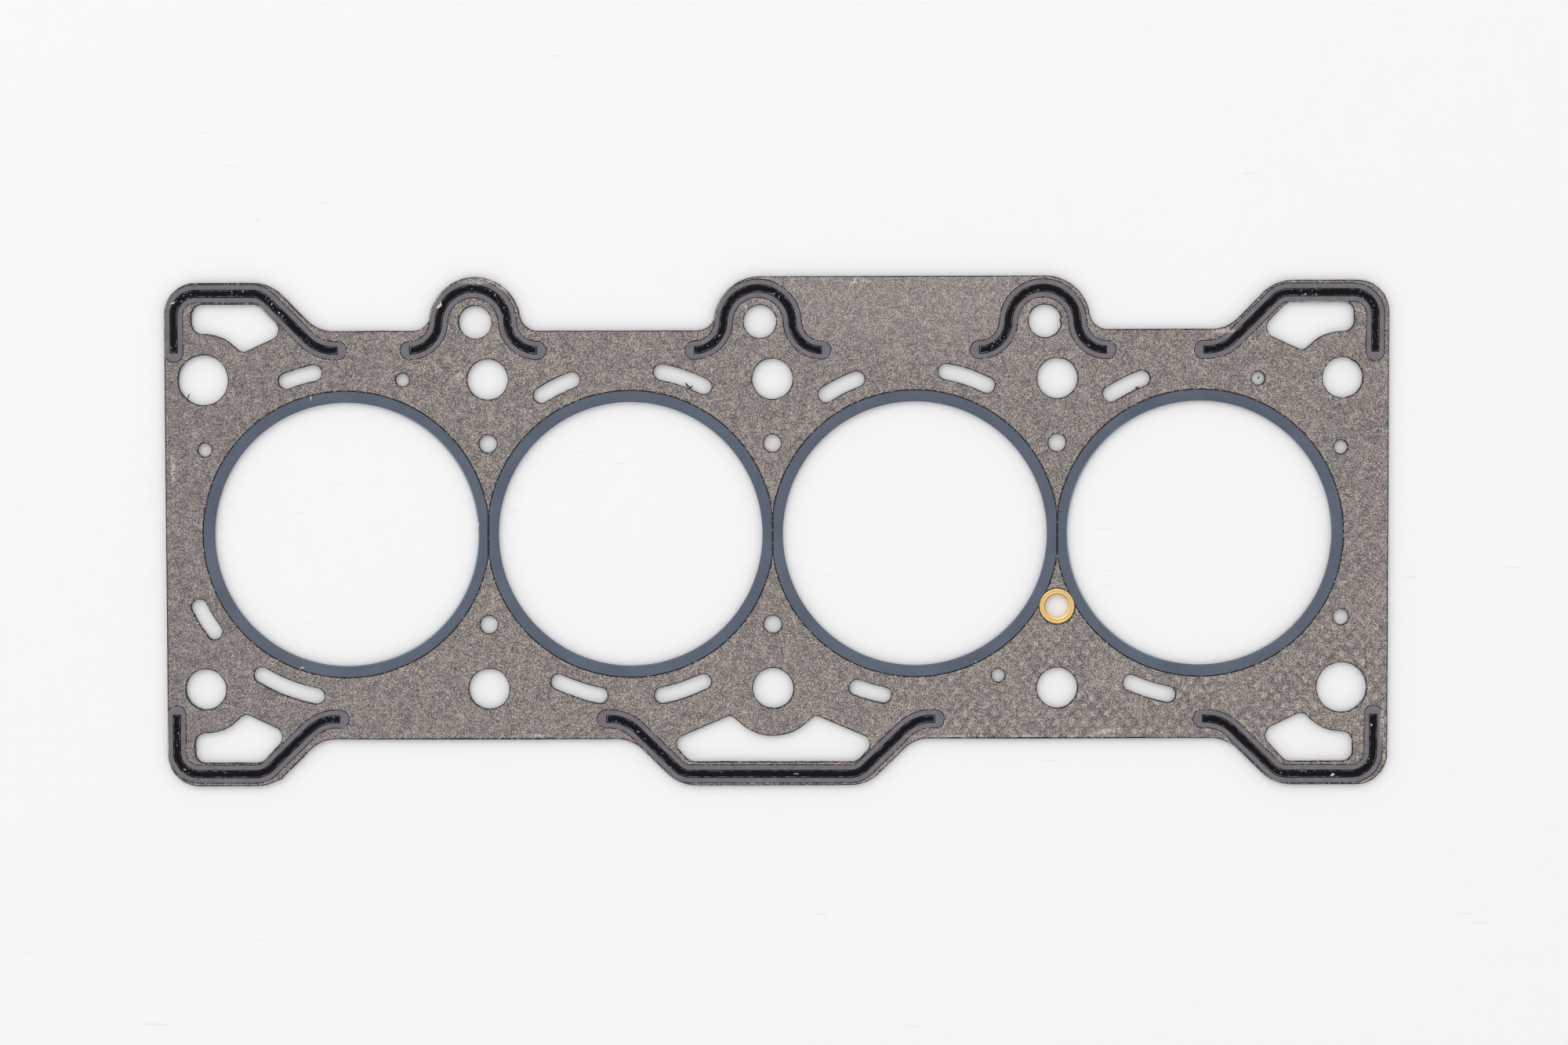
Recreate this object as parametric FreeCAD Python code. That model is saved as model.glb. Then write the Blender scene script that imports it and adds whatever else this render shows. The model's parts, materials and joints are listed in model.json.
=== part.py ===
import FreeCAD, Part
import math
import os

# Cylinder head gasket for a four-cylinder engine, millimetres.
# X runs along the row of cylinders, Y across the engine, Z up through the thickness.
# The origin is the centre of the head bolt pattern, in the middle of the thickness.
# The far side is +Y and the near side is -Y.

# Cylinders
CYLINDERS = 4
BORE_DIAMETER = 78.0
BRIDGE_WIDTH = 6.0

# Thickness of each layer
CORE_THICKNESS = 0.44
FACING_THICKNESS = 0.48

# Folded steel ring round each cylinder
RING_STEEL = 0.2
RING_FLANGE_WIDTH = 3.3
RING_FOLD_RADIUS = 0.35
# Flat steps in each quarter turn of a fold, few because each one runs all round its hole
FOLD_STEPS = 2
RING_BRIDGE_GAP = 0.6
# How far the flanges of the metal pieces press into the facings
FLANGE_SEAT_DEPTH = 0.1

# Rolled copper eyelet of the oil feed
EYELET_HOLE_DIAMETER = 6.9
EYELET_METAL = 0.18
EYELET_FLANGE_WIDTH = 1.75
EYELET_FOLD_RADIUS = 0.45
EYELET_CIRCLE_OFFSET = 8.25

# Play between a metal part and the layers round it
METAL_CLEARANCE = 0.06
EDGE_CLEARANCE = 0.08

# Head bolts and locating dowels, by column and row
BOLT_HOLE_DIAMETER = 12.0
DOWEL_HOLE_DIAMETER = 14.8
BOLT_ROW_OFFSET = 6.75

# Coolant openings, which lie on a circle round each cylinder
COOLANT_CIRCLE_OFFSET = 9.7
SLOT_WIDTH = 4.7
# Each slot: cylinder number, angle where its first end is centred, and its last
SLOTS = (
    (1, 101, 111), (1, 206, 216), (1, 238.5, 259),
    (2, 63.5, 79), (2, 110.5, 122.5), (2, 244, 259), (2, 281, 296),
    (3, 64, 79), (3, 110.5, 122.5), (3, 249.5, 259),
    (4, 110.5, 122.5), (4, 245.5, 259),
)
SMALL_HOLE_DIAMETER = 4.0
LAST_HOLE_DIAMETER = 4.6
# Each small round hole: cylinder number, angle, diameter
SMALL_HOLES = (
    (1, 69.7, SMALL_HOLE_DIAMETER), (1, 148.9, SMALL_HOLE_DIAMETER),
    (3, 300.3, SMALL_HOLE_DIAMETER), (4, 31.3, SMALL_HOLE_DIAMETER),
    (4, 69.4, SMALL_HOLE_DIAMETER), (4, 329.2, LAST_HOLE_DIAMETER),
)
BRIDGE_HOLE_DIAMETER = 5.2
BRIDGE_HOLE_CIRCLE_OFFSET = 10.8
# Each bridge hole: bridge number, counted from the left, and its side
BRIDGE_HOLES = ((1, 1), (1, -1), (2, 1), (2, -1), (3, 1))

# Outline, measured from the bolt rows and from the end bolt columns
LEFT_MARGIN = 11.4
RIGHT_MARGIN = 13.6
FAR_MARGIN = 28.65
NEAR_MARGIN = 28.85
FAR_WAIST = 14.3
NEAR_WAIST = 14.95
CORNER_RADIUS = 9.4
SHOULDER_START = 19.8
SHOULDER_RUN = 14.1
SHOULDER_RADIUS = 12.3
SHOULDER_FOOT_RADIUS = 11.0
MIDDLE_LOBE_HALF = 27.75

# Ears on the far side, one beside each inner bolt, the last two joined by a tab
EAR_SHIFT = -3.6
EAR_OUT = 16.85
EAR_HOLE_DIAMETER = 9.7
EAR_RADIUS = 13.3
EAR_FOOT_RADIUS = 5.4

# Drain windows in the four corners, which curve round the end bolts
WINDOW_END = 3.35
WINDOW_RIM_FAR = 6.4
WINDOW_RIM_NEAR = 6.9
WINDOW_SHROUD_FAR = 13.6
WINDOW_SHROUD_NEAR = 13.1
WINDOW_SHROUD_TURN = 46.0
WINDOW_SHOULDER_GAP = 3.45
WINDOW_TIP_REACH = 4.7
WINDOW_TIP_RISE = 0.2
WINDOW_TAIL_IN = 11.4
WINDOW_CORNER_RADIUS = 3.1
WINDOW_SHOULDER_RADIUS = 3.7
WINDOW_TAIL_RADIUS = 2.8

# Drain window in the lobe of the near side, which curves round the middle bolt
MIDDLE_RIM = 7.0
MIDDLE_SHROUD = 14.2
MIDDLE_SHROUD_TURN = 42.5
MIDDLE_SHOULDER_GAP = 3.0
MIDDLE_TIP_REACH = 2.75
MIDDLE_TIP_RISE = 1.4
MIDDLE_HORN_HALF = 12.4
MIDDLE_CORNER_RADIUS = 3.8
MIDDLE_TIP_RADIUS = 2.7
MIDDLE_HORN_RADIUS = 1.7

# Rubber sealing beads, printed in pressed troughs on both faces
BEAD_WIDTH = 2.35
BEAD_HEIGHT = 0.16
BEAD_EDGE_BREAK = 0.06
TROUGH_MARGIN = 1.4
TROUGH_DEPTH = 0.08
BEAD_EDGE_INSET = 3.4
BEAD_WAIST_INSET = 5.85
BEAD_CORNER_RADIUS = 6.45
BEAD_SLOPE_RADIUS = 6.3
BEAD_FOOT_RADIUS = 11.5
BEAD_LEG_END = 7.75
BEAD_SHOULDER_GAP = 2.0
BEAD_LOBE_GAP = 1.65
BEAD_SLOPE_RUN = 16.8
BEAD_TAIL = 5.8
BEAD_EAR_RADIUS = 10.15
BEAD_EAR_FOOT_RADIUS = 8.7
BEAD_EAR_DROP = 0.35
# The print sits a little to the left of the blank and a little askew
PRINT_SHIFT = -0.68
PRINT_TURN = -0.07

# Sizes that follow from the ones above
BORE_RADIUS = BORE_DIAMETER / 2
PITCH = BORE_DIAMETER + BRIDGE_WIDTH
END_BOLT = PITCH * CYLINDERS / 2
SHOULDER = END_BOLT - SHOULDER_START
BOLT_ROW = BORE_RADIUS + BOLT_ROW_OFFSET
COOLANT_RADIUS = BORE_RADIUS + COOLANT_CIRCLE_OFFSET
RING_OUTER = BORE_RADIUS + RING_FLANGE_WIDTH
EYELET_OUTER = EYELET_HOLE_DIAMETER / 2 + EYELET_FLANGE_WIDTH
HALF_CORE = CORE_THICKNESS / 2
HALF_BODY = HALF_CORE + FACING_THICKNESS
FLANGE_SEAT = HALF_BODY - FLANGE_SEAT_DEPTH
HALF_RING = FLANGE_SEAT + RING_STEEL
TROUGH_FLOOR = HALF_BODY - TROUGH_DEPTH
FAR_EDGE = BOLT_ROW + FAR_MARGIN
NEAR_EDGE = -BOLT_ROW - NEAR_MARGIN
FAR_FLAT = BOLT_ROW + FAR_WAIST
NEAR_FLAT = -BOLT_ROW - NEAR_WAIST
EAR_Y = BOLT_ROW + EAR_OUT
# Depth that a cutting tool runs past the face it cuts
PAST = 1.0

UP = FreeCAD.Vector(0, 0, 1)


def flat(x, y):
    """A point of the drawing plane."""
    return FreeCAD.Vector(x, y, 0)


def bore_x(number):
    """X of a cylinder's centre, cylinder 1 on the left."""
    return (number - (CYLINDERS + 1) / 2) * PITCH


def column_x(number):
    """X of a column of bolts, 0 at the left end, which is also a bridge between cylinders."""
    return (number - CYLINDERS / 2) * PITCH


def ear_places():
    """X of each ear, which stands beside an inner column of bolts."""
    return [column_x(number) + EAR_SHIFT for number in range(1, CYLINDERS)]


def on_bore_circle(number, radius, degrees):
    """A point at an angle on a circle round one cylinder."""
    angle = math.radians(degrees)
    return flat(bore_x(number) + radius * math.cos(angle), radius * math.sin(angle))


def bridge_hole_point(number, side, radius):
    """The point on a bridge's centre line that lies at a radius from both its cylinders."""
    reach = math.sqrt(radius ** 2 - (PITCH / 2) ** 2)
    return flat(column_x(number), side * reach)


# A path is a list of straight and round segments, each one tangent to the next.
# A line is (start, end) and an arc is (start, end, centre, turn), where turn is 1 for an arc
# that bends to the left and -1 for one that bends to the right.


def rounded(points, closed=False):
    """Arcs that round a chain of (x, y, radius), at its inner points or all the way round."""
    if closed:
        points = [points[-1]] + points + points[:2]
    places = [flat(x, y) for x, y, radius in points]
    reaches = [0]
    for index in range(1, len(points) - 1):
        reaches.append(points[index][2] / math.tan(half_angle(places, index)))
    reaches.append(0)
    limits = []
    for index in range(len(points) - 1):
        length = places[index].distanceToPoint(places[index + 1])
        limits.append(min(1, length / max(reaches[index] + reaches[index + 1], 1e-6)))
    arcs = []
    for index in range(1, len(points) - 1):
        corner = places[index]
        half = half_angle(places, index)
        back = (places[index - 1] - corner).normalize()
        ahead = (places[index + 1] - corner).normalize()
        reach = reaches[index] * min(limits[index - 1], limits[index])
        centre = corner + (back + ahead).normalize() * (reach / math.cos(half))
        turn = 1 if ahead.cross(back).z > 0 else -1
        arcs.append((corner + back * reach, corner + ahead * reach, centre, turn))
    return arcs[1:] if closed else arcs


def half_angle(places, index):
    """Half the inner angle at one point of a chain."""
    back = places[index - 1] - places[index]
    ahead = places[index + 1] - places[index]
    return back.getAngle(ahead) / 2


def joined(segments, start=None, end=None):
    """The segments with straight lines in between, open if a start and an end are given."""
    if start is None:
        start = segments[-1][1]
    path = []
    place = start
    for segment in segments:
        if place.distanceToPoint(segment[0]) > 1e-6:
            path.append((place, segment[0]))
        path.append(segment)
        place = segment[1]
    if end is not None and place.distanceToPoint(end) > 1e-6:
        path.append((place, end))
    return path


def ear_rise(x, y, radius, foot_y, foot_radius):
    """The left half of an ear: a foot that leaves the flat, then the ear up to its crown."""
    centre = flat(x, y)
    span = radius + foot_radius
    drop = foot_y + foot_radius - y
    foot_centre = flat(x - math.sqrt(span ** 2 - drop ** 2), foot_y + foot_radius)
    touch = centre + (foot_centre - centre) * (radius / span)
    foot = (flat(foot_centre.x, foot_y), touch, foot_centre, 1)
    crown = (touch, flat(x, y + radius), centre, -1)
    return [foot, crown]


def ear_fall(x, y, radius, foot_y, foot_radius):
    """The right half of an ear, a mirror image of the left one."""
    halves = []
    for start, end, centre, turn in reversed(ear_rise(x, y, radius, foot_y, foot_radius)):
        across = [flat(2 * x - p.x, p.y) for p in (end, start, centre)]
        halves.append((across[0], across[1], across[2], turn))
    return halves


def beside(segment, offset):
    """The edge that runs beside a path segment, to its left by the offset."""
    if len(segment) == 2:
        start, end = segment
        side = UP.cross(end - start).normalize() * offset
        return Part.LineSegment(start + side, end + side).toShape()
    start, end, centre, turn = segment
    radius = start.distanceToPoint(centre)
    scale = (radius - turn * offset) / radius
    first = centre + (start - centre) * scale
    last = centre + (end - centre) * scale
    from_angle = math.atan2(first.y - centre.y, first.x - centre.x)
    to_angle = math.atan2(last.y - centre.y, last.x - centre.x)
    sweep = (turn * (to_angle - from_angle)) % (2 * math.pi)
    halfway = from_angle + turn * sweep / 2
    reach = radius * scale
    middle = centre + flat(reach * math.cos(halfway), reach * math.sin(halfway))
    return Part.Arc(first, middle, last).toShape()


def outline_face(path):
    """A flat face inside a closed path."""
    edges = [beside(segment, 0) for segment in path]
    return Part.Face(Part.Wire(edges))


def end_cap(place, along, half, is_round):
    """The edge across one end of a ribbon, seen along the way out of it."""
    side = UP.cross(along) * half
    if is_round:
        return Part.Arc(place - side, place + along * half, place + side).toShape()
    return Part.LineSegment(place - side, place + side).toShape()


def ribbon_face(path, half, is_round=False):
    """A flat ribbon of constant width along an open path, with square or round ends."""
    left = [beside(segment, half) for segment in path]
    right = [beside(segment, -half) for segment in path]
    out = heading(path[-1], at_end=True)
    back = heading(path[0], at_end=False) * -1
    last_cap = end_cap(path[-1][1], out, half, is_round)
    first_cap = end_cap(path[0][0], back, half, is_round)
    edges = left + [last_cap] + right + [first_cap]
    return Part.Face(Part.Wire(Part.__sortEdges__(edges)))


def heading(segment, at_end):
    """The direction of travel at one end of a segment."""
    if len(segment) == 2:
        return (segment[1] - segment[0]).normalize()
    place = segment[1] if at_end else segment[0]
    return UP.cross(place - segment[2]).normalize() * segment[3]


def blank_face():
    """The outline that the die cuts, with two waists, ears, a tab and a middle lobe."""
    left = -END_BOLT - LEFT_MARGIN
    right = END_BOLT + RIGHT_MARGIN
    foot = SHOULDER - SHOULDER_RUN
    lobe_foot = MIDDLE_LOBE_HALF + SHOULDER_RUN
    ears = ear_places()
    ear = (EAR_Y, EAR_RADIUS, FAR_FLAT, EAR_FOOT_RADIUS)
    far_left = [
        (left, 0, 0),
        (left, FAR_EDGE, CORNER_RADIUS),
        (-SHOULDER, FAR_EDGE, SHOULDER_RADIUS),
        (-foot, FAR_FLAT, SHOULDER_FOOT_RADIUS),
        (ears[0] - EAR_RADIUS, FAR_FLAT, 0),
    ]
    rest = [
        (ears[-1] + EAR_RADIUS, FAR_FLAT, 0),
        (foot, FAR_FLAT, SHOULDER_FOOT_RADIUS),
        (SHOULDER, FAR_EDGE, SHOULDER_RADIUS),
        (right, FAR_EDGE, CORNER_RADIUS),
        (right, NEAR_EDGE, CORNER_RADIUS),
        (SHOULDER, NEAR_EDGE, SHOULDER_RADIUS),
        (foot, NEAR_FLAT, SHOULDER_FOOT_RADIUS),
        (lobe_foot, NEAR_FLAT, SHOULDER_FOOT_RADIUS),
        (MIDDLE_LOBE_HALF, NEAR_EDGE, SHOULDER_RADIUS),
        (-MIDDLE_LOBE_HALF, NEAR_EDGE, SHOULDER_RADIUS),
        (-lobe_foot, NEAR_FLAT, SHOULDER_FOOT_RADIUS),
        (-foot, NEAR_FLAT, SHOULDER_FOOT_RADIUS),
        (-SHOULDER, NEAR_EDGE, SHOULDER_RADIUS),
        (left, NEAR_EDGE, CORNER_RADIUS),
        (left, 0, 0),
    ]
    segments = rounded(far_left)
    for x in ears[:-2]:
        segments += ear_rise(x, *ear) + ear_fall(x, *ear)
    segments += ear_rise(ears[-2], *ear) + ear_fall(ears[-1], *ear)
    segments += rounded(rest)
    return outline_face(joined(segments))


def corner_window(side_x, side_y, edge, shroud):
    """A drain window beyond an end bolt, which curves round the bolt at the shroud's radius."""
    turn = math.radians(WINDOW_SHROUD_TURN)
    bend = shroud * math.tan(turn / 2)
    tail_out = shroud - (WINDOW_TAIL_IN - bend) * math.tan(turn)
    end = END_BOLT + WINDOW_END
    shape = [
        (end, edge, WINDOW_CORNER_RADIUS),
        (SHOULDER + WINDOW_SHOULDER_GAP, edge, WINDOW_SHOULDER_RADIUS),
        (SHOULDER - WINDOW_TIP_REACH, BOLT_ROW + shroud + WINDOW_TIP_RISE, WINDOW_CORNER_RADIUS),
        (END_BOLT - WINDOW_TAIL_IN, BOLT_ROW + tail_out, WINDOW_TAIL_RADIUS),
        (END_BOLT - bend, BOLT_ROW + shroud, shroud),
        (end, BOLT_ROW + shroud, WINDOW_CORNER_RADIUS),
    ]
    placed = [(side_x * x, side_y * y, radius) for x, y, radius in shape]
    return outline_face(joined(rounded(placed, closed=True)))


def middle_window():
    """The long drain window of the lobe, with a horn at each side of the middle bolt."""
    turn = math.radians(MIDDLE_SHROUD_TURN)
    peak = MIDDLE_SHROUD / math.cos(turn)
    horn_y = -BOLT_ROW - peak + MIDDLE_HORN_HALF * math.tan(turn)
    tip_y = -BOLT_ROW - MIDDLE_SHROUD - MIDDLE_TIP_RISE
    half = [
        (MIDDLE_HORN_HALF, horn_y, MIDDLE_HORN_RADIUS),
        (MIDDLE_LOBE_HALF + MIDDLE_TIP_REACH, tip_y, MIDDLE_TIP_RADIUS),
        (MIDDLE_LOBE_HALF - MIDDLE_SHOULDER_GAP, NEAR_EDGE + MIDDLE_RIM, MIDDLE_CORNER_RADIUS),
    ]
    points = [(0, -BOLT_ROW - peak, MIDDLE_SHROUD)] + half
    points += [(-x, y, radius) for x, y, radius in reversed(half)]
    return outline_face(joined(rounded(points, closed=True)))


def slot_face(number, first, last):
    """A curved slot on a cylinder's coolant circle, with round ends."""
    start = on_bore_circle(number, COOLANT_RADIUS, first)
    end = on_bore_circle(number, COOLANT_RADIUS, last)
    path = [(start, end, flat(bore_x(number), 0), 1)]
    return ribbon_face(path, SLOT_WIDTH / 2, is_round=True)


def disc(point, diameter, low, high):
    """A round plug between two heights."""
    return Part.makeCylinder(diameter / 2, high - low, flat(point.x, point.y) + UP * low)


def slab(face, low, high):
    """A flat face raised into a solid between two heights."""
    solid = face.extrude(UP * (high - low))
    solid.translate(UP * low)
    return solid


def round_holes():
    """Centre and diameter of each round hole that goes through every layer."""
    holes = []
    for column in range(CYLINDERS + 1):
        for side in (1, -1):
            is_dowel = (column, side) in ((0, 1), (CYLINDERS, -1))
            diameter = DOWEL_HOLE_DIAMETER if is_dowel else BOLT_HOLE_DIAMETER
            holes.append((flat(column_x(column), side * BOLT_ROW), diameter))
    for x in ear_places():
        holes.append((flat(x, EAR_Y), EAR_HOLE_DIAMETER))
    for number, angle, diameter in SMALL_HOLES:
        if number <= CYLINDERS:
            holes.append((on_bore_circle(number, COOLANT_RADIUS, angle), diameter))
    for number, side in BRIDGE_HOLES:
        if number < CYLINDERS:
            radius = BORE_RADIUS + BRIDGE_HOLE_CIRCLE_OFFSET
            holes.append((bridge_hole_point(number, side, radius), BRIDGE_HOLE_DIAMETER))
    return holes


def eyelet_point():
    """The place of the oil feed, low on the last bridge."""
    return bridge_hole_point(CYLINDERS - 1, -1, BORE_RADIUS + EYELET_CIRCLE_OFFSET)


def through_cuts():
    """Everything that the die cuts right through the core and both facings."""
    low = -HALF_BODY - PAST
    high = HALF_BODY + PAST
    faces = [slot_face(*slot) for slot in SLOTS if slot[0] <= CYLINDERS]
    for side in (-1, 1):
        faces.append(corner_window(side, 1, FAR_EDGE - WINDOW_RIM_FAR, WINDOW_SHROUD_FAR))
        faces.append(corner_window(side, -1, -NEAR_EDGE - WINDOW_RIM_NEAR, WINDOW_SHROUD_NEAR))
    faces.append(middle_window())
    cuts = [slab(face, low, high) for face in faces]
    cuts += [disc(point, diameter, low, high) for point, diameter in round_holes()]
    body_bore = BORE_DIAMETER + 2 * (RING_FOLD_RADIUS + METAL_CLEARANCE)
    for number in range(1, CYLINDERS + 1):
        cuts.append(disc(flat(bore_x(number), 0), body_bore, low, high))
    body_feed = EYELET_HOLE_DIAMETER + 2 * (EYELET_FOLD_RADIUS + METAL_CLEARANCE)
    cuts.append(disc(eyelet_point(), body_feed, low, high))
    return cuts


def bead_paths():
    """The centre line of each sealing bead, by name, as the printing screen has it."""
    far = FAR_EDGE - BEAD_EDGE_INSET
    near = NEAR_EDGE + BEAD_EDGE_INSET
    far_foot = FAR_FLAT - BEAD_WAIST_INSET
    near_foot = NEAR_FLAT + BEAD_WAIST_INSET
    left = -END_BOLT - LEFT_MARGIN + BEAD_EDGE_INSET
    right = END_BOLT + RIGHT_MARGIN - BEAD_EDGE_INSET
    slope = SHOULDER + BEAD_SHOULDER_GAP
    lobe = MIDDLE_LOBE_HALF - BEAD_LOBE_GAP
    paths = {}
    corners = (
        ("far_left", left, -1, far, far_foot, 1),
        ("far_right", right, 1, far, far_foot, 1),
        ("near_left", left, -1, near, near_foot, -1),
        ("near_right", right, 1, near, near_foot, -1),
    )
    for name, leg_x, side_x, edge_y, foot_y, side_y in corners:
        foot = slope - BEAD_SLOPE_RUN
        points = [
            (leg_x, side_y * (BOLT_ROW + BEAD_LEG_END), 0),
            (leg_x, edge_y, BEAD_CORNER_RADIUS),
            (side_x * slope, edge_y, BEAD_SLOPE_RADIUS),
            (side_x * foot, foot_y, BEAD_FOOT_RADIUS),
            (side_x * (foot - BEAD_TAIL), foot_y, 0),
        ]
        paths[name] = open_path(points)
    lobe_foot = lobe + BEAD_SLOPE_RUN
    paths["near_middle"] = open_path([
        (-lobe_foot - BEAD_TAIL, near_foot, 0),
        (-lobe_foot, near_foot, BEAD_FOOT_RADIUS),
        (-lobe, near, BEAD_SLOPE_RADIUS),
        (lobe, near, BEAD_SLOPE_RADIUS),
        (lobe_foot, near_foot, BEAD_FOOT_RADIUS),
        (lobe_foot + BEAD_TAIL, near_foot, 0),
    ])
    for number, x in enumerate(ear_places(), start=1):
        shape = (x, EAR_Y - BEAD_EAR_DROP, BEAD_EAR_RADIUS, far_foot, BEAD_EAR_FOOT_RADIUS)
        paths["ear_" + str(number)] = ear_rise(*shape) + ear_fall(*shape)
    return paths


def open_path(points):
    """A rounded path from the first point of a chain to the last."""
    start = flat(points[0][0], points[0][1])
    end = flat(points[-1][0], points[-1][1])
    return joined(rounded(points), start, end)


def printed(shape):
    """A printed shape moved to where the print really landed."""
    shape.rotate(flat(0, 0), UP, PRINT_TURN)
    shape.translate(flat(PRINT_SHIFT, 0))
    return shape


def core_plate(cuts):
    """The steel sheet in the middle, which carries both facings."""
    return slab(blank_face(), -HALF_CORE, HALF_CORE).cut(cuts)


def upper_facing(cuts):
    """The graphite facing, thinned under the ring flanges, the eyelet and the beads."""
    facing = slab(blank_face(), HALF_CORE, HALF_BODY)
    seats = []
    for number in range(1, CYLINDERS + 1):
        seat = 2 * (RING_OUTER + EDGE_CLEARANCE)
        seats.append(disc(flat(bore_x(number), 0), seat, FLANGE_SEAT, HALF_BODY + PAST))
    eyelet_seat = 2 * (EYELET_OUTER + EDGE_CLEARANCE)
    seats.append(disc(eyelet_point(), eyelet_seat, FLANGE_SEAT, HALF_BODY + PAST))
    for path in bead_paths().values():
        trough = ribbon_face(path, BEAD_WIDTH / 2 + TROUGH_MARGIN, is_round=True)
        seats.append(printed(slab(trough, TROUGH_FLOOR, HALF_BODY + PAST)))
    return facing.cut(cuts).cut(seats)


def sealing_bead(path):
    """A raised rubber line with its upper edges broken."""
    face = ribbon_face(path, BEAD_WIDTH / 2)
    bead = slab(face, TROUGH_FLOOR, TROUGH_FLOOR + BEAD_HEIGHT)
    top = TROUGH_FLOOR + BEAD_HEIGHT
    rim = [edge for edge in bead.Edges if all(abs(v.Z - top) < 1e-6 for v in edge.Vertexes)]
    return printed(bead.makeChamfer(BEAD_EDGE_BREAK, rim))


def fold_points(centre, radius, side):
    """Points of a quarter turn from the flange, on the upper or the lower side, to the wall."""
    points = []
    for step in range(FOLD_STEPS + 1):
        angle = step / FOLD_STEPS * math.pi / 2
        across = radius * math.sin(angle)
        along = radius * math.cos(angle)
        points.append(centre + FreeCAD.Vector(-across, 0, side * along))
    return points


def folded_ring(inner, metal, flange, fold, half_height):
    """Thin metal folded round the edge of a hole, with a flange on each face."""
    outer = inner + flange
    seat = half_height - metal
    outline = []
    for radius, height in ((fold, half_height), (fold - metal, seat)):
        upper_centre = FreeCAD.Vector(inner + fold, 0, half_height - fold)
        lower_centre = FreeCAD.Vector(inner + fold, 0, fold - half_height)
        skin = [FreeCAD.Vector(outer, 0, height)]
        skin += fold_points(upper_centre, radius, 1)
        skin += reversed(fold_points(lower_centre, radius, -1))
        skin.append(FreeCAD.Vector(outer, 0, -height))
        outline += skin if radius == fold else reversed(skin)
    outline.append(outline[0])
    section = Part.Face(Part.makePolygon(outline))
    return section.revolve(flat(0, 0), UP, 360)


def fire_ring(number):
    """The folded ring of one cylinder, trimmed flat at its neighbours and round at the eyelet."""
    ring = folded_ring(BORE_RADIUS, RING_STEEL, RING_FLANGE_WIDTH, RING_FOLD_RADIUS, HALF_RING)
    ring.translate(flat(bore_x(number), 0))
    trims = []
    height = 2 * (HALF_RING + PAST)
    for bridge in (number - 1, number):
        if 0 < bridge < CYLINDERS:
            corner = flat(column_x(bridge) - RING_BRIDGE_GAP / 2, -RING_OUTER)
            if bridge < number:
                corner.x += RING_BRIDGE_GAP - RING_FLANGE_WIDTH
            trim = Part.makeBox(RING_FLANGE_WIDTH, 2 * RING_OUTER, height, corner)
            trim.translate(UP * (-height / 2))
            trims.append(trim)
    notch = 2 * (EYELET_OUTER + EDGE_CLEARANCE)
    trims.append(disc(eyelet_point(), notch, -height / 2, height / 2))
    return ring.cut(trims)


def oil_eyelet():
    """The rolled copper eyelet round the oil feed."""
    eyelet = folded_ring(EYELET_HOLE_DIAMETER / 2, EYELET_METAL, EYELET_FLANGE_WIDTH,
                         EYELET_FOLD_RADIUS, FLANGE_SEAT + EYELET_METAL)
    eyelet.translate(eyelet_point())
    return eyelet


def turned_over(shape):
    """The same shape on the other face of the gasket."""
    return shape.mirror(flat(0, 0), UP)


def build():
    """Every piece of the gasket, by name, about the middle of its thickness."""
    cuts = through_cuts()
    pieces = {"core_plate": core_plate(cuts), "upper_facing": upper_facing(cuts)}
    pieces["lower_facing"] = turned_over(pieces["upper_facing"])
    for number in range(1, CYLINDERS + 1):
        pieces["fire_ring_" + str(number)] = fire_ring(number)
    pieces["oil_eyelet"] = oil_eyelet()
    for name, path in bead_paths().items():
        bead = sealing_bead(path)
        pieces["upper_bead_" + name] = bead
        pieces["lower_bead_" + name] = turned_over(bead)
    return pieces


def write(pieces):
    """One file for each piece."""
    os.makedirs("parts", exist_ok=True)
    for name, shape in pieces.items():
        shape.exportStep("parts/" + name + ".step")
        state = "sound" if shape.isValid() and len(shape.Solids) == 1 else "CHECK"
        print(f"{name}: {shape.Volume:.1f} mm3, {len(shape.Faces)} faces, {state}")


write(build())
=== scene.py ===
# %% [markdown]
# # Cylinder head gasket
#
# The real part is a sandwich: a thin steel core, a soft graphite facing on each side of it, steel
# rings folded round the cylinder openings, one copper eyelet, and lines of black rubber printed on
# both faces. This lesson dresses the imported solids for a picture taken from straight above.
# Everything is in metres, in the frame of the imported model, so each piece goes where the solid is.

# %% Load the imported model
import json
import math

import bmesh
import bpy
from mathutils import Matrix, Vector, kdtree, noise

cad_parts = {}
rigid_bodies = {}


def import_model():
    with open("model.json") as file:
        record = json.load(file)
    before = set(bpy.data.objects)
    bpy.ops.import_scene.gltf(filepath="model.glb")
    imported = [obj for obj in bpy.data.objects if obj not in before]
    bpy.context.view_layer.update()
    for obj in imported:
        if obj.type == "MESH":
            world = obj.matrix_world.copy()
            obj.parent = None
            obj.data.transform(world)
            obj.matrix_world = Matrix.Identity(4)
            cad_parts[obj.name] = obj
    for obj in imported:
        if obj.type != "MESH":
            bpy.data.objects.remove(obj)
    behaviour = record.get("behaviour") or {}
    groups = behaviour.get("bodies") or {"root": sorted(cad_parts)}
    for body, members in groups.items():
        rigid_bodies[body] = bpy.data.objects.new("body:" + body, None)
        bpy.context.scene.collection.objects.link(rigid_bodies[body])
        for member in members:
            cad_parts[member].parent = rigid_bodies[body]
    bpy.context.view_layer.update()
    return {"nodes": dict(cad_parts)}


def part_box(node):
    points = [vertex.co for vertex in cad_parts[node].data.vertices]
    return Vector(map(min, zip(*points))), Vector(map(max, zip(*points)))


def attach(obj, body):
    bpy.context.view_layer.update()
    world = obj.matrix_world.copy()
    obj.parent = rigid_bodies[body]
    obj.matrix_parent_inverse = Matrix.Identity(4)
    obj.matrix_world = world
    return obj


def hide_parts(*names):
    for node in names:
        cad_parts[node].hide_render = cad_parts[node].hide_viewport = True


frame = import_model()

MM = 0.001

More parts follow.
